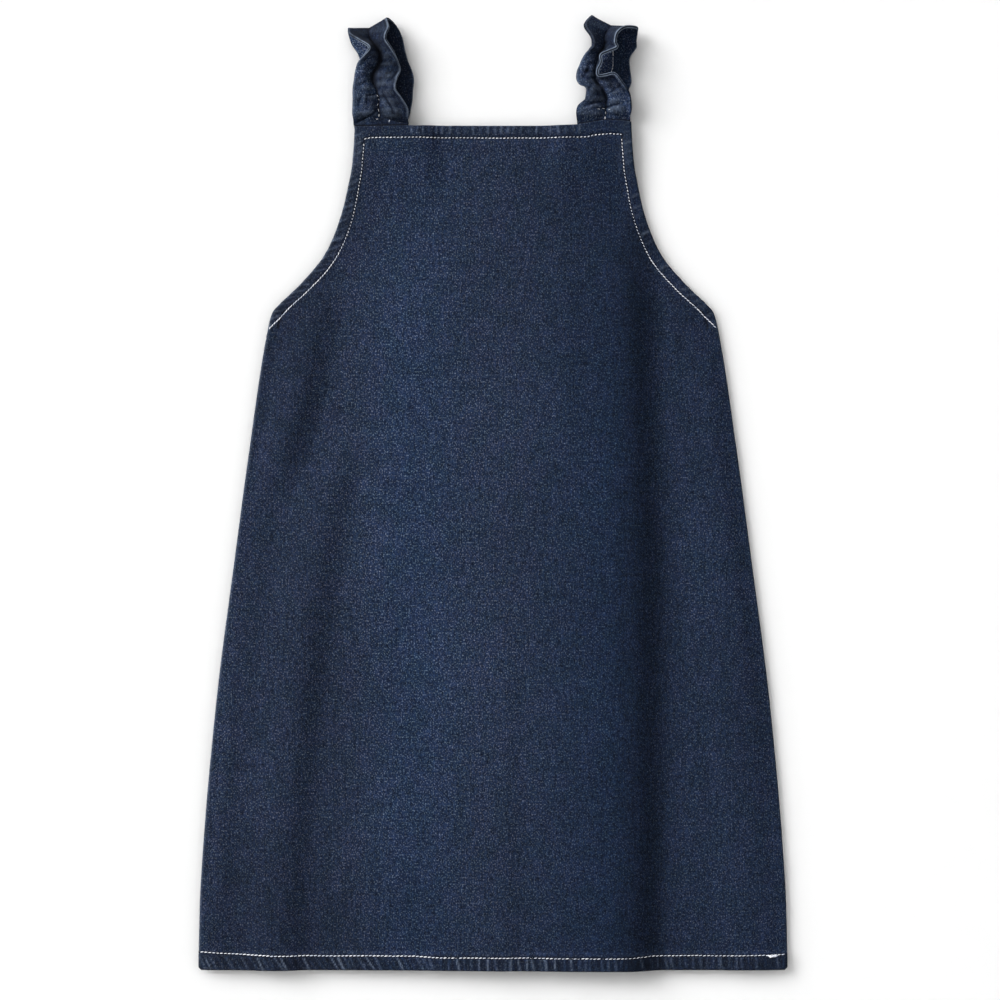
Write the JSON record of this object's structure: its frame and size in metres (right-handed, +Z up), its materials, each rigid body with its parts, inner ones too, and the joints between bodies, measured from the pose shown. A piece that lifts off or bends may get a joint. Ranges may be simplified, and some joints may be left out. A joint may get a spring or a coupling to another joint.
{
  "type": "pinafore dress",
  "caption": "Child's sleeveless A-line denim pinafore dress laid flat, with a square bib and gathered ruffle shoulder straps.",
  "frame": {"origin": "bottom centre of the bounding box: on the surface the dress lies on, under the middle of its width and its overall length", "axes": "+Z up from the surface to the dress's front, +Y from the hem towards the straps, +X to the right as seen from above with the straps away"},
  "size_m": [0.435, 0.7039, 0.0181],
  "materials": {
    "denim": "washed indigo twill with white flecks and worn seams",
    "strap_denim": "washed indigo twill, doubled and gathered"
  },
  "bodies": {
    "root": {"front_panel": "denim", "back_panel": "denim", "left_strap": "strap_denim", "right_strap": "strap_denim"}
  },
  "joints": []
}
